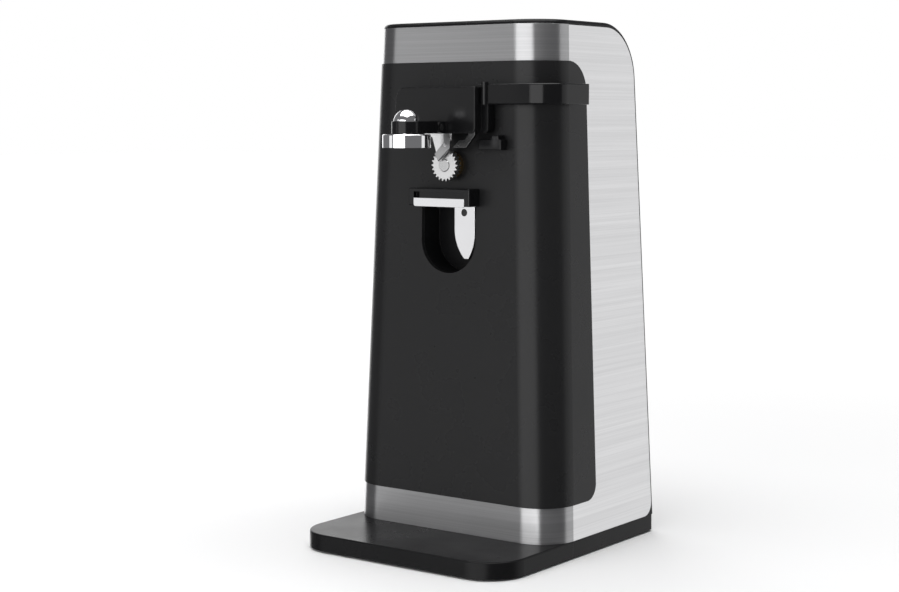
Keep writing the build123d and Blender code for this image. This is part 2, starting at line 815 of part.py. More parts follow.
with BuildPart() as intermediate_gear_1:
    add(spur_gear(gear_1_teeth, gear_module, gear_1_centre, gear_1_phase, gear_1_front, gear_1_back))
    add(rod(gear_1_rim_radius, gear_1_centre[0], gear_1_centre[1], gear_1_back - 1.0, gear_1_back + 1),
        mode=Mode.SUBTRACT)
    add(rod(hub_radius, gear_1_centre[0], gear_1_centre[1], gear_1_front, gear_1_back))
    add(spur_gear(gear_1_pinion_teeth, gear_module, gear_1_centre, gear_1_pinion_phase,
                  gear_2_front, gear_1_front))
    add(rod(3.0, gear_1_centre[0], gear_1_centre[1], final_front, gear_2_front))
    add(rod(axle_radius + running_fit, gear_1_centre[0], gear_1_centre[1], -far, far), mode=Mode.SUBTRACT)

with BuildPart() as motor_pinion:
    add(spur_gear(rotor_teeth, gear_module, rotor_centre, rotor_phase, gear_1_front - 0.5, gear_1_back + 0.5))
    add(rod(motor_shaft_radius, rotor_centre[0], rotor_centre[1], -far, far), mode=Mode.SUBTRACT)

# ---------------------------------------------------------------- drive wheel and shaft
with BuildPart() as drive_wheel:
    with BuildSketch(facing_front(wheel_rear)):
        with BuildLine():
            wheel_points = []
            for tooth in range(wheel_teeth):
                for share, radius in ((-0.30, wheel_root_radius), (-0.10, wheel_tip_radius),
                                      (0.10, wheel_tip_radius), (0.30, wheel_root_radius)):
                    angle = 2 * pi * (tooth + share) / wheel_teeth
                    wheel_points.append((wheel_x + radius * cos(angle), wheel_z + radius * sin(angle)))
            Polyline(*wheel_points, close=True)
        make_face()
    extrude(amount=wheel_thickness)
    add(rod(3.5, wheel_x, wheel_z, wheel_rear - 1, washer_front))
    add(rod(shaft_radius, wheel_x, wheel_z, -far, far), mode=Mode.SUBTRACT)

with BuildPart() as drive_shaft:
    add(rod(shaft_radius, wheel_x, wheel_z, wheel_front - 0.4, final_back))
    chamfer(drive_shaft.faces().sort_by(Axis.Y)[0].edges(), 0.3)

with BuildPart() as wheel_washer:
    add(rod(5.0, wheel_x, wheel_z, washer_front, washer_back))
    add(rod(shaft_radius, wheel_x, wheel_z, -far, far), mode=Mode.SUBTRACT)

# ---------------------------------------------------------------- lever
bar_front = head_back
bar_back = bar_front + bar_thickness
hinge_y = head_front - hinge_offset
hinge_z = head_low + 2.7
lug_radius = 2.4
lug_thickness = 2.5
rib_radius = 1.5
cutter_slot_front = head_front + 0.8
blade_thickness = 1.0
cutter_thickness = 1.0
cutter_slot_back = cutter_slot_front + blade_thickness + cutter_thickness
blade_left = 2.1
blade_right = 5.3
rivet_x = 2.7
rivet_z = head_low - 4.9
rivet_radius = 0.55

with BuildPart() as lever_handle:
    with BuildSketch(facing_front(head_back)) as head:
        with Locations(((head_left + head_right) / 2, (head_low + head_top) / 2)):
            Rectangle(head_right - head_left, head_top - head_low)
        fillet(head.vertices().group_by(Axis.Y)[-1].sort_by(Axis.X)[0], head_corner_radius)
        fillet(head.vertices().group_by(Axis.Y)[-1].sort_by(Axis.X)[-1], 0.8)
        fillet(head.vertices().group_by(Axis.Y)[0], 2.5)
    extrude(amount=head_plate)
    fillet(lever_handle.faces().sort_by(Axis.Y)[0].edges(), 0.5)
    with BuildSketch(facing_front(carrier_back)) as carrier:
        with Locations(((head_left + carrier_right) / 2 + 0.4, (head_low + head_top) / 2)):
            Rectangle(carrier_right - head_left - 0.8, head_top - head_low - 0.6)
        fillet(carrier.vertices(), 2.0)
    extrude(amount=carrier_back - head_back)
    with BuildSketch(Plane.XY.offset(bar_low)) as bar:
        with BuildLine():
            Polyline(
                (head_right - 2, bar_front),
                (bar_outer_x, bar_front),
                (bar_outer_x, bar_side_end),
                (bar_outer_x - bar_side_wall, bar_side_end),
                (bar_outer_x - bar_side_wall, bar_back),
                (head_right - 2, bar_back),
                close=True,
            )
        make_face()
        outer_corner = bar.vertices().sort_by(lambda v: v.X - v.Y)[-1]
        fillet(outer_corner, bar_corner_radius)
        inner_corner = [v for v in bar.vertices()
                        if abs(v.X - bar_outer_x + bar_side_wall) < 0.01 and v.Y < bar_side_end - 1]
        fillet(inner_corner, bar_corner_radius - bar_side_wall)
    extrude(amount=bar_height)
    outer_edges = [edge for edge in lever_handle.faces().sort_by(Axis.X)[-1].edges()]
    fillet(outer_edges, 0.8)
    add(post(rib_radius, head_right + 1.9, bar_front, bar_low, bar_top + 0.8))
    for x in (magnet_x - knuckle_width / 2 - touch_gap - lug_thickness / 2,
              magnet_x + knuckle_width / 2 + touch_gap + lug_thickness / 2):
        with BuildSketch(Plane.YZ.offset(x - lug_thickness / 2)):
            with Locations((hinge_y, hinge_z)):
                Circle(lug_radius)
            with Locations(((hinge_y + head_front + 0.5) / 2, hinge_z)):
                Rectangle(head_front + 0.5 - hinge_y, 2 * lug_radius)
        extrude(amount=lug_thickness)
    with BuildSketch(Plane.YZ.offset(magnet_x - 8)):
        with Locations((hinge_y, hinge_z)):
            Circle(hinge_pin_radius)
    extrude(amount=16, mode=Mode.SUBTRACT)
    add(slab(-9.0, 7.6, cutter_slot_front, cutter_slot_back, head_low - 1, head_low + 7), mode=Mode.SUBTRACT)
    add(slab(13.0, 19.0, cutter_slot_front, cutter_slot_front + 1.5, head_low - 1, head_low + 4),
        mode=Mode.SUBTRACT)
    add(rod(pivot_radius, pivot_x, pivot_z, head_front + 1.5, 60), mode=Mode.SUBTRACT)

with BuildPart() as lever_pivot_shaft:
    add(rod(pivot_radius, pivot_x, pivot_z, head_front + 1.5, pivot_boss_back + 9.5))

crank_front = pivot_boss_back + 5.0
crank_thickness = 4.0
crank_nose_radius = 2.0
crank_arm_height = 1.9
crank_boss_radius = pivot_radius + 2.2
with BuildPart() as lever_crank:
    with BuildSketch(facing_front(crank_front + crank_thickness)) as crank:
        with Locations((pivot_x + crank_radius, pivot_z)):
            Circle(crank_nose_radius)
        with Locations((pivot_x + crank_radius / 2, pivot_z + crank_nose_radius - crank_arm_height / 2)):
            Rectangle(crank_radius, crank_arm_height)
        with Locations(pivot):
            Circle(crank_boss_radius)
        with Locations(pivot):
            Circle(pivot_radius, mode=Mode.SUBTRACT)
    extrude(amount=crank_thickness)

# ---------------------------------------------------------------- cutter
with BuildPart() as cutter_plate:
    with BuildSketch(facing_front(cutter_slot_back)):
        with BuildLine():
            Polyline(
                (-8.8, head_low + 6.0),
                (-8.8, head_low - 1.2),
                (-4.7, head_low - 1.5),
                (-2.9, head_low - 7.0),
                (-2.4, head_low - 9.2),
                (-0.4, head_low - 9.6),
                (blade_right - 0.2, head_low - 5.0),
                (blade_right + 1.1, head_low + 6.0),
                close=True,
            )
        make_face()
    extrude(amount=cutter_thickness)
    add(rod(rivet_radius, rivet_x, rivet_z, -far, far), mode=Mode.SUBTRACT)

with BuildPart() as cutter_blade:
    with BuildSketch(facing_front(cutter_slot_front + blade_thickness)):
        with BuildLine():
            Polyline(
                (blade_left, head_low + 6.5),
                (blade_left, head_low - 3.8),
                (-2.9, head_low - 9.0),
                (-0.9, head_low - 11.9),
                (blade_right, head_low - 6.4),
                (blade_right, head_low + 6.5),
                close=True,
            )
        make_face()
    extrude(amount=blade_thickness)
    bevel = cutter_blade.faces().sort_by(Axis.Y)[0].edges().sort_by(Axis.Z)[:2]
    chamfer(bevel, 0.35)
    add(rod(rivet_radius, rivet_x, rivet_z, -far, far), mode=Mode.SUBTRACT)

with BuildPart() as blade_rivet:
    add(rod(rivet_radius, rivet_x, rivet_z, cutter_slot_front - 0.2, cutter_slot_back + 0.2))
    add(rod(rivet_radius + 0.25, rivet_x, rivet_z, cutter_slot_front - 0.3, cutter_slot_front))

with BuildPart() as rim_guide:
    with BuildSketch(facing_front(cutter_slot_front + 1.5)):
        with BuildLine():
            Polyline(
                (7.1, head_low - 5.9),
                (10.2, head_low - 2.9),
                (13.2, head_low - 2.8),
                (15.2, head_low - 0.4),
                (15.2, head_low + 4.0),
                (18.6, head_low + 4.0),
                (18.6, head_low - 0.4),
                (13.9, head_low - 5.9),
                close=True,
            )
        make_face()
    extrude(amount=1.5)

# ---------------------------------------------------------------- magnet arm
magnet_y = head_front - magnet_reach
arm_low = hinge_z - arm_thickness / 2
arm_top = hinge_z + arm_thickness / 2
with BuildPart() as magnet_arm:
    with BuildSketch(Plane.XY.offset(arm_low)):
        with Locations((magnet_x, magnet_y)):
            Circle(arm_width / 2)
        with Locations((magnet_x, (magnet_y + hinge_y - 2.8) / 2)):
            Rectangle(arm_width, hinge_y - 2.8 - magnet_y)
    extrude(amount=arm_thickness)
    fillet(magnet_arm.faces().sort_by(Axis.Z)[-1].edges(), 0.5)
    with BuildSketch(Plane.YZ.offset(magnet_x - knuckle_width / 2)):
        with Locations((hinge_y, hinge_z)):
            Circle(lug_radius)
        with Locations((hinge_y - 1.6, hinge_z)):
            Rectangle(3.2, 2 * lug_radius - 0.4)
    extrude(amount=knuckle_width)
    with BuildSketch(Plane.YZ.offset(magnet_x - 8)):
        with Locations((hinge_y, hinge_z)):
            Circle(hinge_pin_radius + running_fit)
    extrude(amount=16, mode=Mode.SUBTRACT)
    add(post(magnet_stem_radius, magnet_x, magnet_y, -far, far), mode=Mode.SUBTRACT)

with BuildPart() as magnet_arm_pin:
    with BuildSketch(Plane.YZ.offset(magnet_x - knuckle_width / 2 - touch_gap - lug_thickness)):
        with Locations((hinge_y, hinge_z)):
            Circle(hinge_pin_radius)
    extrude(amount=knuckle_width + 2 * touch_gap + 2 * lug_thickness)

cup_top = arm_low - touch_gap
with BuildPart() as magnet_cup:
    add(post(cup_radius, magnet_x, magnet_y, cup_top - cup_height, cup_top))
    fillet(magnet_cup.faces().sort_by(Axis.Z)[-1].edges(), 0.6)
    add(post(cup_radius - cup_wall, magnet_x, magnet_y, cup_top - cup_height - 1, cup_top - cup_wall),
        mode=Mode.SUBTRACT)
    add(post(magnet_stem_radius, magnet_x, magnet_y, -far, far), mode=Mode.SUBTRACT)

with BuildPart() as magnet_disc:
    add(post(cup_radius - cup_wall, magnet_x, magnet_y, cup_top - cup_height + 0.3, cup_top - cup_wall))
    add(post(magnet_stem_radius, magnet_x, magnet_y, -far, far), mode=Mode.SUBTRACT)

with BuildPart() as magnet_stem:
    add(post(magnet_stem_radius, magnet_x, magnet_y, cup_top - cup_height + 0.3, arm_top + 0.5))
    add(post(magnet_stem_radius + 0.8, magnet_x, magnet_y, cup_top, arm_low))
    with BuildSketch(Plane.XZ.offset(-magnet_y)):
        with Locations((magnet_x, arm_top + dome_height - dome_radius)):
            Circle(dome_radius)
        with Locations((magnet_x, arm_top)):
            Rectangle(20, 20, align=(Align.CENTER, Align.MAX), mode=Mode.SUBTRACT)
            Rectangle(20, 40, align=(Align.MAX, Align.CENTER), mode=Mode.SUBTRACT)
    revolve(axis=Axis((magnet_x, magnet_y, 0), (0, 0, 1)))

# ---------------------------------------------------------------- switch
plunger_x = pivot_x + crank_radius
plunger_y = crank_front + crank_thickness / 2
plunger_radius = 2.0
plunger_top = pivot_z - crank_nose_radius - 0.2
collar_radius = 3.6
collar_thickness = 1.6
switch_half_width = 8.0
switch_half_depth = 4.5
switch_top = plunger_top - 6.8
switch_low = switch_top - 11.5
with BuildPart() as switch_body:
    add(slab(plunger_x - switch_half_width, plunger_x + switch_half_width, plunger_y - switch_half_depth,
             gear_plate_front, switch_low, switch_top))
    add(post(plunger_radius + running_fit, plunger_x, plunger_y, switch_low + 1.5, switch_top + 1),
        mode=Mode.SUBTRACT)
    fillet(switch_body.edges().filter_by(Axis.Z).sort_by(Axis.Y)[:2], 1.0)

with BuildPart() as switch_plunger:
    add(post(plunger_radius, plunger_x, plunger_y, switch_top - 7.0, plunger_top))
    add(post(collar_radius, plunger_x, plunger_y, plunger_top - collar_thickness, plunger_top))

spring_wire = 0.35
spring_turns = 3
spring_low = switch_top + spring_wire
spring_high = plunger_top - collar_thickness - spring_wire
with BuildPart() as plunger_spring:
    with BuildLine() as coil:
        Helix((spring_high - spring_low) / spring_turns, spring_high - spring_low, 2.8,
              center=(plunger_x, plunger_y, spring_low))
    with BuildSketch(Plane(origin=coil.line @ 0, z_dir=coil.line % 0)):
        Circle(spring_wire)
    sweep(is_frenet=True)

return_wire = 0.45
return_radius = pivot_radius + 1.0
with BuildPart() as lever_return_spring:
    with BuildLine() as coil:
        Helix(1.1, 3.3, return_radius, center=(pivot_x, pivot_boss_back + 0.5, pivot_z),
              direction=(0, 1, 0))
    with BuildSketch(Plane(origin=coil.line @ 0, z_dir=coil.line % 0)):
        Circle(return_wire)
    sweep(is_frenet=True)

# ---------------------------------------------------------------- motor
motor_x = rotor_centre[0]
motor_z = rotor_centre[1]
core_top = motor_z - stator_core_drop + core_height
coil_half_width = stator_half_width - limb_width - 0.5
screw_places = [(motor_x - motor_screw_x, motor_z), (motor_x + motor_screw_x, motor_z)]
ring_radius = 1.6
ring_places = [(motor_x - 9.6, motor_z + 9.6), (motor_x + 9.6, motor_z - 9.6)]
ring_overhang = 1.2
with BuildPart() as motor_stator:
    with BuildSketch(facing_front(stator_back)) as lamination:
        with Locations((motor_x, motor_z)):
            Rectangle(2 * stator_half_width, 2 * stator_half_height)
        with Locations((motor_x, motor_z - stator_core_drop)):
            Rectangle(2 * stator_half_width, core_height, align=(Align.CENTER, Align.MIN))
        for side in (-1, 1):
            limb_x = motor_x + side * (stator_half_width - limb_width / 2)
            with Locations((limb_x, motor_z - stator_core_drop)):
                Rectangle(limb_width, stator_core_drop, align=(Align.CENTER, Align.MIN))
        with Locations((motor_x, motor_z)):
            Circle(rotor_radius + air_gap, mode=Mode.SUBTRACT)
        with Locations(*screw_places):
            Circle(screw_radius + screw_gap, mode=Mode.SUBTRACT)
        with Locations(*ring_places):
            Circle(ring_radius, mode=Mode.SUBTRACT)
    extrude(amount=stator_depth)

with BuildPart() as shading_rings:
    for x, z in ring_places:
        add(rod(ring_radius, x, z, stator_front - ring_overhang, stator_back + ring_overhang))

core_low = motor_z - stator_core_drop
bobbin_wall = 1.2
bobbin_front = stator_front - bobbin_wall
bobbin_back = stator_back + bobbin_wall
flange_thickness = 1.0
winding_depth = coil_thickness - 0.5
with BuildPart() as coil_bobbin:
    add(slab(motor_x - coil_half_width, motor_x + coil_half_width, bobbin_front, bobbin_back,
             core_low - bobbin_wall, core_top + bobbin_wall))
    for x in (motor_x - coil_half_width, motor_x + coil_half_width - flange_thickness):
        add(slab(x, x + flange_thickness, stator_front - coil_thickness, stator_back + coil_thickness,
                 core_low - coil_thickness, core_top + coil_thickness))
    add(slab(-far, far, stator_front, stator_back, core_low, core_top), mode=Mode.SUBTRACT)

with BuildPart() as coil_winding:
    add(slab(motor_x - coil_half_width + flange_thickness, motor_x + coil_half_width - flange_thickness,
             stator_front - winding_depth, stator_back + winding_depth,
             core_low - winding_depth, core_top + winding_depth))
    fillet(coil_winding.edges().filter_by(Axis.X), 3.0)
    add(slab(-far, far, bobbin_front, bobbin_back, core_low - bobbin_wall, core_top + bobbin_wall),
        mode=Mode.SUBTRACT)


def motor_bracket(front, boss_front, boss_back):
    """A strip across the stator with a bearing boss for the motor shaft."""
    with BuildPart() as strip:
        with BuildSketch(facing_front(front + bracket_thickness)):
            with Locations((motor_x, motor_z)):
                SlotOverall(2 * motor_screw_x + 10, 10)
        extrude(amount=bracket_thickness)
        add(rod(hub_radius, motor_x, motor_z, boss_front, boss_back))
        add(rod(motor_shaft_radius + running_fit, motor_x, motor_z, -far, far), mode=Mode.SUBTRACT)
        for x, z in screw_places:
            add(rod(screw_radius + screw_gap, x, z, -far, far), mode=Mode.SUBTRACT)
    return strip.part


with BuildPart() as motor_front_bracket:
    add(motor_bracket(bracket_front, bracket_front, bracket_front + 2.6))
    for x, z in screw_places:
        add(rod(3.2, x, z, bracket_front, stator_front))
        add(rod(screw_radius + screw_gap, x, z, bracket_front - 1, stator_front + 1), mode=Mode.SUBTRACT)

with BuildPart() as motor_rear_bracket:
    add(motor_bracket(rear_bracket_front, rear_bracket_front - 1.1, rear_bracket_front + bracket_thickness))
    for x, z in screw_places:
        add(rod(3.2, x, z, stator_back, rear_bracket_front + bracket_thickness))
        add(rod(screw_radius + screw_gap, x, z, stator_back - 1, rear_bracket_front + 5), mode=Mode.SUBTRACT)

with BuildPart() as motor_standoffs:
    for x, z in screw_places:
        add(rod(3.6, x, z, gear_plate_back, bracket_front))
        add(rod(screw_radius + screw_gap, x, z, gear_plate_back - 1, bracket_front + 1), mode=Mode.SUBTRACT)

motor_screw_seat = rear_bracket_front + bracket_thickness
with BuildPart() as motor_screws:
    for x, z in screw_places:
        add(rod(screw_head_radius, x, z, motor_screw_seat, motor_screw_seat + screw_head_height))
        add(rod(screw_radius, x, z, gear_plate_front, motor_screw_seat + 0.5))

with BuildPart() as motor_rotor:
    add(rod(rotor_radius, motor_x, motor_z, stator_front + 0.5, stator_back - 0.5))
    add(rod(motor_shaft_radius, motor_x, motor_z, -far, far), mode=Mode.SUBTRACT)

with BuildPart() as motor_shaft:
    add(rod(motor_shaft_radius, motor_x, motor_z, gear_1_front - 1.0, fan_back + 0.5))

with BuildPart() as cooling_fan:
    add(rod(hub_radius, motor_x, motor_z, fan_front, fan_back))
    add(rod(9.0, motor_x, motor_z, fan_front, fan_front + 1.0))
    for blade in range(fan_blades):
        tilt = 360 * blade / fan_blades
        turned = facing_front(fan_back).location * Location((motor_x, motor_z, 0), (0, 0, tilt))
        with BuildSketch(Plane(turned)):
            with Locations((4.0, 0)):
                Rectangle(fan_radius - 4.0, 1.0, align=(Align.MIN, Align.CENTER))
        extrude(amount=fan_back - fan_front)
    add(rod(motor_shaft_radius, motor_x, motor_z, -far, far), mode=Mode.SUBTRACT)

# ---------------------------------------------------------------- cord gland
gland_bore = 3.3
with BuildPart() as cord_gland:
    add(rod(gland_recess_radius - 0.4, gland_x, gland_z, gland_wall - gland_recess_depth, gland_wall - 0.6))
    fillet(cord_gland.faces().sort_by(Axis.Y)[-1].edges(), 0.8)
    add(rod(gland_hole_radius - 0.05, gland_x, gland_z, gland_wall - wall - 5, gland_wall - 1))
    add(rod(gland_hole_radius + 2, gland_x, gland_z, gland_wall - wall - 4, gland_wall - wall - 2))
    add(rod(gland_bore, gland_x, gland_z, -far, far), mode=Mode.SUBTRACT)

# ---------------------------------------------------------------- export
pieces = {
    "front_housing": front_housing,
    "rear_housing": rear_housing,
    "base_cover": base_cover,
    "rubber_feet": rubber_feet,
    "base_screws": base_screws,
    "housing_screws": housing_screws,
    "front_fascia": front_fascia,
    "lower_steel_band": lower_steel_band,
    "upper_steel_band": upper_steel_band,
    "left_side_panel": left_side_panel,
    "right_side_panel": right_side_panel,
    "can_guide": can_guide,
    "bottle_opener_hood": bottle_opener_hood,
    "bottle_opener_plate": bottle_opener_plate,
    "bottle_opener_screw": bottle_opener_screw,
    "drive_bushing": drive_bushing,
    "gear_plate": gear_plate,
    "gear_plate_screws": gear_plate_screws,
    "gear_1_axle": gear_1_axle,
    "gear_2_axle": gear_2_axle,
    "final_gear": final_gear,
    "intermediate_gear_1": intermediate_gear_1,
    "intermediate_gear_2": intermediate_gear_2,
    "motor_pinion": motor_pinion,
    "drive_wheel": drive_wheel,
    "drive_shaft": drive_shaft,
    "wheel_washer": wheel_washer,
    "lever_handle": lever_handle,
    "lever_pivot_shaft": lever_pivot_shaft,
    "lever_crank": lever_crank,
    "lever_return_spring": lever_return_spring,
    "cutter_plate": cutter_plate,
    "cutter_blade": cutter_blade,
    "blade_rivet": blade_rivet,
    "rim_guide": rim_guide,
    "magnet_arm": magnet_arm,
    "magnet_arm_pin": magnet_arm_pin,
    "magnet_cup": magnet_cup,
    "magnet_disc": magnet_disc,
    "magnet_stem": magnet_stem,
    "switch_body": switch_body,
    "switch_plunger": switch_plunger,
    "plunger_spring": plunger_spring,
    "motor_stator": motor_stator,
    "shading_rings": shading_rings,
    "coil_bobbin": coil_bobbin,
    "coil_winding": coil_winding,
    "motor_front_bracket": motor_front_bracket,
    "motor_rear_bracket": motor_rear_bracket,
    "motor_standoffs": motor_standoffs,
    "motor_screws": motor_screws,
    "motor_rotor": motor_rotor,
    "motor_shaft": motor_shaft,
    "cooling_fan": cooling_fan,
    "cord_gland": cord_gland,
}
os.makedirs("parts", exist_ok=True)
for name, piece in pieces.items():
    piece.part.label = name
    export_step(piece.part, f"parts/{name}.step")
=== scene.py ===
"""Finishes, camera and studio for the electric can opener. Metres, in the part's own frame."""
import math

import bpy
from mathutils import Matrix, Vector

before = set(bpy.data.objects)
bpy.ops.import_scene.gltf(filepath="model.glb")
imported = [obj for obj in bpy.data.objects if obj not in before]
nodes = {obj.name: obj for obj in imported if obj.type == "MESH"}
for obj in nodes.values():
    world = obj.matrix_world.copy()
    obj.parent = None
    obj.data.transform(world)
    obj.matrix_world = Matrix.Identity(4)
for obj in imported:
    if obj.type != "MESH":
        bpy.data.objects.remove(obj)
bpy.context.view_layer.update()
MM = 0.001
MICRON = 0.000001

# sockets of a colour Mix node, which share their names with its other types
MIX_FIRST, MIX_SECOND, MIX_RESULT = 6, 7, 2


# ---------------------------------------------------------------- camera
def direction(azimuth, elevation):
    """Unit vector away from the object, in degrees; azimuth 0 is straight in front."""
    a, e = math.radians(azimuth), math.radians(elevation)
    return Vector((math.sin(a) * math.cos(e), -math.cos(a) * math.cos(e), math.sin(e)))


def stand(name, data, away, place):
    """An object in the scene that stands at a place and looks back along a direction."""
    made = bpy.data.objects.new(name, data)
    made.location = place
    made.rotation_mode = "QUATERNION"
    made.rotation_quaternion = away.to_track_quat("Z", "Y")
    bpy.context.scene.collection.objects.link(made)
    return made


def set_camera():
    """A long lens from the front right, a little above the middle of the body."""
    lens = bpy.data.cameras.new("studio_camera")
    lens.sensor_width = 36.0
    lens.lens = 71.73
    lens.shift_x = -0.0037
    lens.shift_y = 0.0025
    lens.clip_start = 0.01
    away = direction(azimuth=36.46, elevation=5.70)
    place = (0.46177, -0.64357, 0.18799)
    bpy.context.scene.camera = stand("studio_camera", lens, away, place)


# ---------------------------------------------------------------- studio
BODY_MIDDLE = Vector((0, 0, 0.11))


def softbox(name, azimuth, elevation, distance, width, height, brightness):
    """A rectangular lamp that faces the middle of the body, as bright as asked at any size."""
    away = direction(azimuth, elevation)
    lamp = bpy.data.lights.new(name, "AREA")
    lamp.shape = "RECTANGLE"
    lamp.size, lamp.size_y = width, height
    lamp.energy = brightness * math.pi * width * height
    panel = stand(name, lamp, away, BODY_MIDDLE + away * distance)
    panel.visible_camera = False


def set_room():
    """White where the camera looks past the object, dim where the object mirrors it."""
    world = bpy.data.worlds.new("white_room")
    bpy.context.scene.world = world
    world.use_nodes = True
    tree = world.node_tree
    tree.nodes.clear()
    out = node(tree, "ShaderNodeOutputWorld")
    mix = node(tree, "ShaderNodeMixShader")
    path = node(tree, "ShaderNodeLightPath")
    dim = node(tree, "ShaderNodeBackground", Color=(0.17, 0.17, 0.175, 1))
    white = node(tree, "ShaderNodeBackground", Color=(1.0, 1.0, 1.0, 1))
    tree.links.new(path.outputs["Is Camera Ray"], mix.inputs["Fac"])
    tree.links.new(dim.outputs[0], mix.inputs[1])
    tree.links.new(white.outputs[0], mix.inputs[2])
    tree.links.new(mix.outputs[0], out.inputs["Surface"])


def set_floor():
    """A pale floor that takes shadows near the object and glows evenly white further out."""
    floor_size = 14.0
    shadow_reach, glow_reach = 0.12, 0.62
    black, pale, white = grey(0.0), grey(0.82), grey(1.0)
    bpy.ops.mesh.primitive_plane_add(size=floor_size, location=(0, 0, 0))
    floor = bpy.context.object
    floor.name = "studio_floor"
    paint, tree, shader = new_finish("pale_floor")
    place = node(tree, "ShaderNodeTexCoord")
    distance = node(tree, "ShaderNodeVectorMath", operation="LENGTH")
    tree.links.new(place.outputs["Object"], distance.inputs[0])
    far = ranged(tree, distance.outputs["Value"], 0.0, 1.0, shadow_reach, glow_reach, "SMOOTHSTEP")
    tree.links.new(blended(tree, far, pale, black), shader.inputs["Base Color"])
    tree.links.new(blended(tree, far, black, white), shader.inputs["Emission Color"])
    shader.inputs["Emission Strength"].default_value = 1.0
    shader.inputs["Roughness"].default_value = 0.6
    shader.inputs["Specular IOR Level"].default_value = 0.1
    floor.visible_glossy = False
    floor.data.materials.append(paint)


def set_studio():
    """Walls of light round the object: each flat side and each bend mirrors its own."""
    set_room()
    set_floor()
    tall = 1.5
    level = -2
    softbox("key_in_front", 1, level, distance=1.5, width=1.56, height=tall, brightness=2.6)
    softbox("front_left_wall", -42, level, distance=1.6, width=0.5, height=tall, brightness=0.8)
    softbox("right_rear_wall", 141, level, distance=1.3, width=1.45, height=tall, brightness=0.72)
    softbox("left_rear_wall", -130, level, distance=1.4, width=1.0, height=tall, brightness=1.4)
    softbox("overhead", 0, 88, distance=1.2, width=1.5, height=1.5, brightness=3.4)
    bpy.context.scene.view_settings.view_transform = "Standard"


# ---------------------------------------------------------------- shader building blocks
def new_group(name, inputs, outputs):
    """A shader node group with float or colour inputs and named outputs."""
    group = bpy.data.node_groups.new(name, "ShaderNodeTree")
    for label, kind, value in inputs:
        socket = group.interface.new_socket(label, in_out="INPUT", socket_type=kind)
        socket.default_value = value
    for label, kind in outputs:
        group.interface.new_socket(label, in_out="OUTPUT", socket_type=kind)
    entry = group.nodes.new("NodeGroupInput")
    leave = group.nodes.new("NodeGroupOutput")
    return group, entry, leave


def node(tree, kind, **values):
    """A new node, with its sockets or its settings given by name."""
    made = tree.nodes.new(kind)
    for key, value in values.items():
        if key in made.inputs:
            made.inputs[key].default_value = value
        else:
            setattr(made, key, value)
    return made


def make_brushing():
    """Fine level lines that run round the body, as left by a brushing belt."""
    group, entry, leave = new_group(
        "Level brushing",
        [("Fineness", "NodeSocketFloat", 1.0), ("Length", "NodeSocketFloat", 1.0)],
        [("Line", "NodeSocketFloat"), ("Streak", "NodeSocketFloat")],
    )
    place = node(group, "ShaderNodeTexCoord")
    # noise cells in a metre, across the lines and along them
    for label, level, along in (("Line", 2600.0, 9.0), ("Streak", 480.0, 5.0)):
        split = node(group, "ShaderNodeSeparateXYZ")
        join = node(group, "ShaderNodeCombineXYZ")
        group.links.new(place.outputs["Object"], split.inputs[0])
        stretches = (("X", along, "Length"), ("Y", along, "Length"), ("Z", level, "Fineness"))
        for axis, rate, source in stretches:
            rated = node(group, "ShaderNodeMath", operation="MULTIPLY")
            group.links.new(entry.outputs[source], rated.inputs[0])
            rated.inputs[1].default_value = rate
            scaled = node(group, "ShaderNodeMath", operation="MULTIPLY")
            group.links.new(split.outputs[axis], scaled.inputs[0])
            group.links.new(rated.outputs[0], scaled.inputs[1])
            group.links.new(scaled.outputs[0], join.inputs[axis])
        noise = node(group, "ShaderNodeTexNoise", Scale=1.0, Detail=3.0, Roughness=0.6)
        group.links.new(join.outputs[0], noise.inputs["Vector"])
        group.links.new(noise.outputs["Fac"], leave.inputs[label])
    return group


def make_grain():
    """Fine speckle of a moulded skin, its size in millimetres, with broad shinier patches."""
    group, entry, leave = new_group(
        "Moulded grain",
        [("Grain size", "NodeSocketFloat", 0.5)],
        [("Grain", "NodeSocketFloat"), ("Patch", "NodeSocketFloat")],
    )
    place = node(group, "ShaderNodeTexCoord")
    rate = node(group, "ShaderNodeMath", operation="DIVIDE")
    rate.inputs[0].default_value = 1 / MM
    group.links.new(entry.outputs["Grain size"], rate.inputs[1])
    fine = node(group, "ShaderNodeTexNoise", Detail=2.0, Roughness=0.5)
    group.links.new(place.outputs["Object"], fine.inputs["Vector"])
    group.links.new(rate.outputs[0], fine.inputs["Scale"])
    broad = node(group, "ShaderNodeTexNoise", Scale=38.0, Detail=4.0, Roughness=0.55)
    group.links.new(place.outputs["Object"], broad.inputs["Vector"])
    group.links.new(fine.outputs["Fac"], leave.inputs["Grain"])
    group.links.new(broad.outputs["Fac"], leave.inputs["Patch"])
    return group


def make_soft_edge():
    """Rounded normals along sharp edges, and a mask of those edges."""
    group, entry, leave = new_group(
        "Softened edges",
        [("Radius", "NodeSocketFloat", 0.0003)],
        [("Normal", "NodeSocketVector"), ("Edge", "NodeSocketFloat")],
    )
    bevel = node(group, "ShaderNodeBevel", samples=6)
    group.links.new(entry.outputs["Radius"], bevel.inputs["Radius"])
    true = node(group, "ShaderNodeNewGeometry")
    dot = node(group, "ShaderNodeVectorMath", operation="DOT_PRODUCT")
    group.links.new(bevel.outputs["Normal"], dot.inputs[0])
    group.links.new(true.outputs["Normal"], dot.inputs[1])
    # the two normals agree on a flat and part at an edge
    agree_on_flat, agree_at_edge = 1.0, 0.86
    mask = ranged(group, dot.outputs["Value"], 0.0, 1.0, agree_on_flat, agree_at_edge)
    group.links.new(bevel.outputs["Normal"], leave.inputs["Normal"])
    group.links.new(mask, leave.inputs["Edge"])
    return group


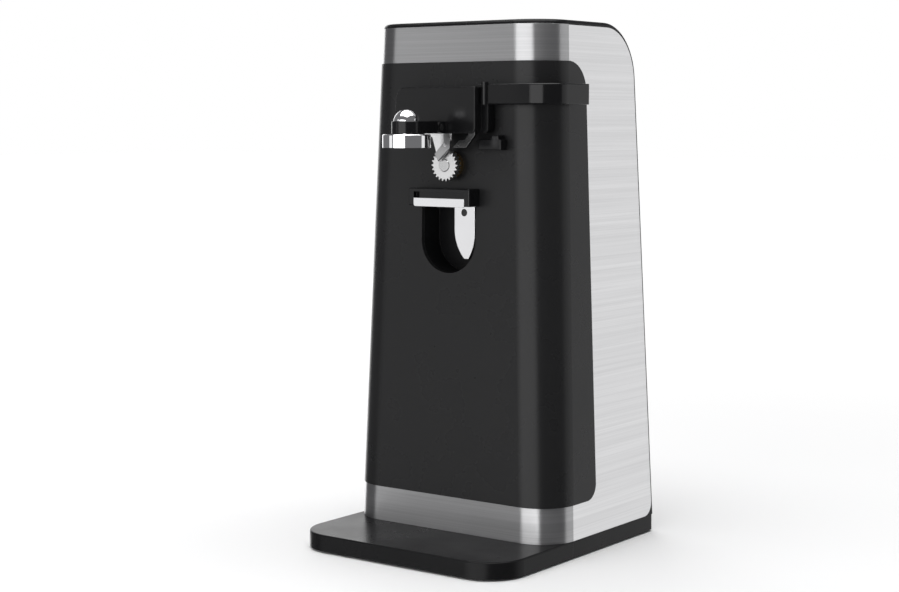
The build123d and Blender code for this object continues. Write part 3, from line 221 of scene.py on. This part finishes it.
def placed(tree, group, **values):
    """A shared group placed in a material, with this material's own values."""
    made = tree.nodes.new("ShaderNodeGroup")
    made.node_tree = group
    for key, value in values.items():
        made.inputs[key.replace("_", " ").capitalize()].default_value = value
    return made


def ranged(tree, source, low, high, start=0.3, end=0.7, interpolation="LINEAR"):
    """A value that runs from low to high as its source runs from start to end."""
    run = node(tree, "ShaderNodeMapRange", interpolation_type=interpolation)
    run.inputs["From Min"].default_value = start
    run.inputs["From Max"].default_value = end
    run.inputs["To Min"].default_value = low
    run.inputs["To Max"].default_value = high
    tree.links.new(source, run.inputs["Value"])
    return run.outputs["Result"]


def blended(tree, amount, first, second):
    """A colour between two, by a changing amount."""
    mix = node(tree, "ShaderNodeMix", data_type="RGBA")
    tree.links.new(amount, mix.inputs["Factor"])
    mix.inputs[MIX_FIRST].default_value = (*first, 1)
    mix.inputs[MIX_SECOND].default_value = (*second, 1)
    return mix.outputs[MIX_RESULT]


def grey(level, cool=0.0):
    """An even grey; cool adds a little blue, and a negative value takes some away."""
    return (level, level, level + cool)


def new_finish(name):
    """A new material with its node tree and its shader."""
    finish = bpy.data.materials.new(name)
    finish.use_nodes = True
    return finish, finish.node_tree, finish.node_tree.nodes["Principled BSDF"]


def bumped(tree, shader, height, depth, edge):
    """Relief of the given depth in metres, over the softened edges."""
    bump = node(tree, "ShaderNodeBump", Strength=1.0, Distance=depth)
    tree.links.new(height, bump.inputs["Height"])
    tree.links.new(edge.outputs["Normal"], bump.inputs["Normal"])
    tree.links.new(bump.outputs["Normal"], shader.inputs["Normal"])


brushing = make_brushing()
grain = make_grain()
soft_edge = make_soft_edge()


def plastic(
    name, colour, edge_wear_and_highlight, roughness, spread, grain_size, depth, edge_radius=0.25, specular=0.5
):
    """Moulded plastic: grain, shinier patches, and edges painted paler, partly as rubbed wear and
    partly as a painted highlight.
    """
    finish, tree, shader = new_finish(name)
    speckle = placed(tree, grain, grain_size=grain_size)
    edge = placed(tree, soft_edge, radius=edge_radius * MM)
    # edges painted paler: partly rubbed wear, partly a painted highlight along the edges
    tone = blended(tree, edge.outputs["Edge"], colour, edge_wear_and_highlight)
    tree.links.new(tone, shader.inputs["Base Color"])
    rough = ranged(tree, speckle.outputs["Patch"], roughness - spread, roughness + spread)
    tree.links.new(rough, shader.inputs["Roughness"])
    shader.inputs["Specular IOR Level"].default_value = specular
    bumped(tree, shader, speckle.outputs["Grain"], depth, edge)
    return finish


def brushed_metal(name, dark, light, roughness, spread, depth, stretch):
    """Sheet brushed in level lines of changing tone; stretch draws reflections out upright."""
    finish, tree, shader = new_finish(name)
    lines = placed(tree, brushing, fineness=1.0, length=1.0)
    edge = placed(tree, soft_edge, radius=0.2 * MM)
    both = node(tree, "ShaderNodeMath", operation="ADD")
    tree.links.new(lines.outputs["Line"], both.inputs[0])
    tree.links.new(lines.outputs["Streak"], both.inputs[1])
    tone = blended(tree, ranged(tree, both.outputs[0], 0.0, 1.0, 0.75, 1.25), dark, light)
    tree.links.new(tone, shader.inputs["Base Color"])
    rough = ranged(tree, lines.outputs["Line"], roughness - spread, roughness + spread)
    tree.links.new(rough, shader.inputs["Roughness"])
    shader.inputs["Metallic"].default_value = 1.0
    shader.inputs["Anisotropic"].default_value = stretch
    shader.inputs["Anisotropic Rotation"].default_value = 0.25
    bumped(tree, shader, lines.outputs["Line"], depth, edge)
    return finish


def plain_metal(name, colour, edge_wear_and_highlight, roughness, spread, grain_size=0.6, depth=2 * MICRON):
    """Turned, stamped or plated metal with a faint uneven polish, and edges painted paler, partly
    as wear and partly as a painted highlight.
    """
    finish, tree, shader = new_finish(name)
    speckle = placed(tree, grain, grain_size=grain_size)
    edge = placed(tree, soft_edge, radius=0.15 * MM)
    # edges painted paler: partly wear, partly a painted highlight along the edges
    tree.links.new(blended(tree, edge.outputs["Edge"], colour, edge_wear_and_highlight), shader.inputs["Base Color"])
    rough = ranged(tree, speckle.outputs["Patch"], roughness - spread, roughness + spread)
    tree.links.new(rough, shader.inputs["Roughness"])
    shader.inputs["Metallic"].default_value = 1.0
    bumped(tree, shader, speckle.outputs["Grain"], depth, edge)
    return finish


# ---------------------------------------------------------------- finishes
BLACK = grey(0.005, 0.0005)
# paler colour along plastic edges: partly rubbed wear, partly a painted highlight
PALE_EDGE_WEAR_AND_HIGHLIGHT = grey(0.03, 0.001)

# grain sizes are in millimetres; spread is how far the roughness strays to each side
# in each finish the paler edge colour is partly wear and partly a painted highlight
FINISHES = {
    "satin_black": (plastic, dict(
        colour=grey(0.007, 0.0005), edge_wear_and_highlight=PALE_EDGE_WEAR_AND_HIGHLIGHT, roughness=0.30, spread=0.05,
        grain_size=0.35, depth=12 * MICRON, specular=0.12,
    )),
    "cover_black": (plastic, dict(
        colour=grey(0.006, 0.0005), edge_wear_and_highlight=PALE_EDGE_WEAR_AND_HIGHLIGHT, roughness=0.40, spread=0.06,
        grain_size=0.4, depth=20 * MICRON, specular=0.05,
    )),
    "fascia_black": (plastic, dict(
        colour=grey(0.012, 0.0005), edge_wear_and_highlight=PALE_EDGE_WEAR_AND_HIGHLIGHT, roughness=0.28, spread=0.03,
        grain_size=1.2, depth=2 * MICRON, specular=0.2,
    )),
    "lever_black": (plastic, dict(
        colour=BLACK, edge_wear_and_highlight=PALE_EDGE_WEAR_AND_HIGHLIGHT, roughness=0.18, spread=0.03,
        grain_size=1.5, depth=2 * MICRON, edge_radius=0.1, specular=0.25,
    )),
    "trim_black": (plastic, dict(
        colour=BLACK, edge_wear_and_highlight=PALE_EDGE_WEAR_AND_HIGHLIGHT, roughness=0.14, spread=0.03,
        grain_size=1.0, depth=3 * MICRON, specular=0.3,
    )),
    "rubber_black": (plastic, dict(
        colour=grey(0.018), edge_wear_and_highlight=grey(0.03), roughness=0.75, spread=0.1,
        grain_size=0.5, depth=50 * MICRON,
    )),
    "switch_red": (plastic, dict(
        colour=(0.42, 0.02, 0.015), edge_wear_and_highlight=(0.55, 0.1, 0.08), roughness=0.35, spread=0.05,
        grain_size=0.5, depth=10 * MICRON,
    )),
    "nylon_white": (plastic, dict(
        colour=(0.74, 0.72, 0.66), edge_wear_and_highlight=(0.8, 0.79, 0.74), roughness=0.42, spread=0.06,
        grain_size=0.5, depth=10 * MICRON,
    )),
    "fan_grey": (plastic, dict(
        colour=grey(0.08, 0.005), edge_wear_and_highlight=grey(0.14), roughness=0.45, spread=0.06,
        grain_size=0.5, depth=20 * MICRON,
    )),
    "band_steel": (brushed_metal, dict(
        dark=grey(0.37, 0.005), light=grey(0.45, 0.005),
        roughness=0.34, spread=0.05, depth=2 * MICRON, stretch=0.85,
    )),
    "panel_steel": (brushed_metal, dict(
        dark=grey(0.74, 0.005), light=grey(0.86, 0.005),
        roughness=0.36, spread=0.05, depth=2 * MICRON, stretch=0.0,
    )),
    "opener_steel": (plain_metal, dict(
        colour=grey(0.80, 0.01), edge_wear_and_highlight=grey(0.9), roughness=0.10, spread=0.03,
    )),
    "wheel_steel": (plain_metal, dict(
        colour=grey(0.70), edge_wear_and_highlight=grey(0.85),
        roughness=0.34, spread=0.06, grain_size=0.25, depth=10 * MICRON,
    )),
    "cutter_steel": (plain_metal, dict(
        colour=grey(0.85), edge_wear_and_highlight=grey(0.9), roughness=0.20, spread=0.05,
    )),
    "blade_steel": (plain_metal, dict(
        colour=grey(0.42), edge_wear_and_highlight=grey(0.7), roughness=0.30, spread=0.06,
    )),
    "guide_steel": (plain_metal, dict(
        colour=grey(0.10), edge_wear_and_highlight=grey(0.6), roughness=0.25, spread=0.05,
    )),
    "chrome": (plain_metal, dict(
        colour=grey(0.86, 0.01), edge_wear_and_highlight=grey(0.9),
        roughness=0.035, spread=0.012, grain_size=1.0, depth=1 * MICRON,
    )),
    "sheet_steel": (plain_metal, dict(
        colour=grey(0.52, -0.02), edge_wear_and_highlight=grey(0.7), roughness=0.36, spread=0.08,
    )),
    "shaft_steel": (plain_metal, dict(
        colour=grey(0.60), edge_wear_and_highlight=grey(0.75), roughness=0.22, spread=0.05,
    )),
    "dark_screw": (plain_metal, dict(
        colour=grey(0.05), edge_wear_and_highlight=grey(0.2), roughness=0.35, spread=0.06,
    )),
    "bronze": (plain_metal, dict(
        colour=(0.48, 0.33, 0.15), edge_wear_and_highlight=(0.62, 0.45, 0.24),
        roughness=0.38, spread=0.08, grain_size=0.2, depth=20 * MICRON,
    )),
    "copper": (plain_metal, dict(
        colour=(0.60, 0.25, 0.10), edge_wear_and_highlight=(0.72, 0.36, 0.18), roughness=0.28, spread=0.06,
    )),
    "laminations": (plain_metal, dict(
        colour=grey(0.26, 0.01), edge_wear_and_highlight=grey(0.4),
        roughness=0.45, spread=0.08, grain_size=0.4, depth=20 * MICRON,
    )),
    "ferrite": (plain_metal, dict(
        colour=grey(0.06, 0.002), edge_wear_and_highlight=grey(0.1),
        roughness=0.6, spread=0.1, grain_size=0.4, depth=20 * MICRON,
    )),
}

FINISH_OF = {
    "satin_black": ("front_housing", "rear_housing", "switch_body"),
    "cover_black": ("base_cover",),
    "fascia_black": ("front_fascia",),
    "lever_black": ("lever_handle", "magnet_arm"),
    "trim_black": ("can_guide", "bottle_opener_hood"),
    "rubber_black": ("rubber_feet", "cord_gland"),
    "switch_red": ("switch_plunger",),
    "nylon_white": (
        "final_gear", "intermediate_gear_1", "intermediate_gear_2", "lever_crank", "coil_bobbin",
    ),
    "fan_grey": ("cooling_fan",),
    "band_steel": ("lower_steel_band", "upper_steel_band"),
    "panel_steel": ("left_side_panel", "right_side_panel"),
    "opener_steel": ("bottle_opener_plate",),
    "wheel_steel": ("drive_wheel",),
    "cutter_steel": ("cutter_plate", "blade_rivet"),
    "blade_steel": ("cutter_blade",),
    "guide_steel": ("rim_guide",),
    "chrome": ("magnet_cup", "magnet_stem"),
    "sheet_steel": (
        "gear_plate", "wheel_washer", "motor_front_bracket", "motor_rear_bracket",
        "motor_standoffs", "base_screws", "housing_screws", "gear_plate_screws", "motor_screws",
    ),
    "shaft_steel": (
        "gear_1_axle", "gear_2_axle", "drive_shaft", "lever_pivot_shaft", "magnet_arm_pin",
        "lever_return_spring", "plunger_spring", "motor_shaft",
    ),
    "dark_screw": ("bottle_opener_screw",),
    "bronze": ("drive_bushing", "motor_pinion"),
    "copper": ("coil_winding", "shading_rings"),
    "laminations": ("motor_stator", "motor_rotor"),
    "ferrite": ("magnet_disc",),
}


def give_finishes():
    """Every finish is made once and given to all of its pieces."""
    made = {name: maker(name, **settings) for name, (maker, settings) in FINISHES.items()}
    for finish, members in FINISH_OF.items():
        for piece in members:
            mesh = nodes[piece].data
            mesh.materials.clear()
            mesh.materials.append(made[finish])


set_camera()
set_studio()
give_finishes()
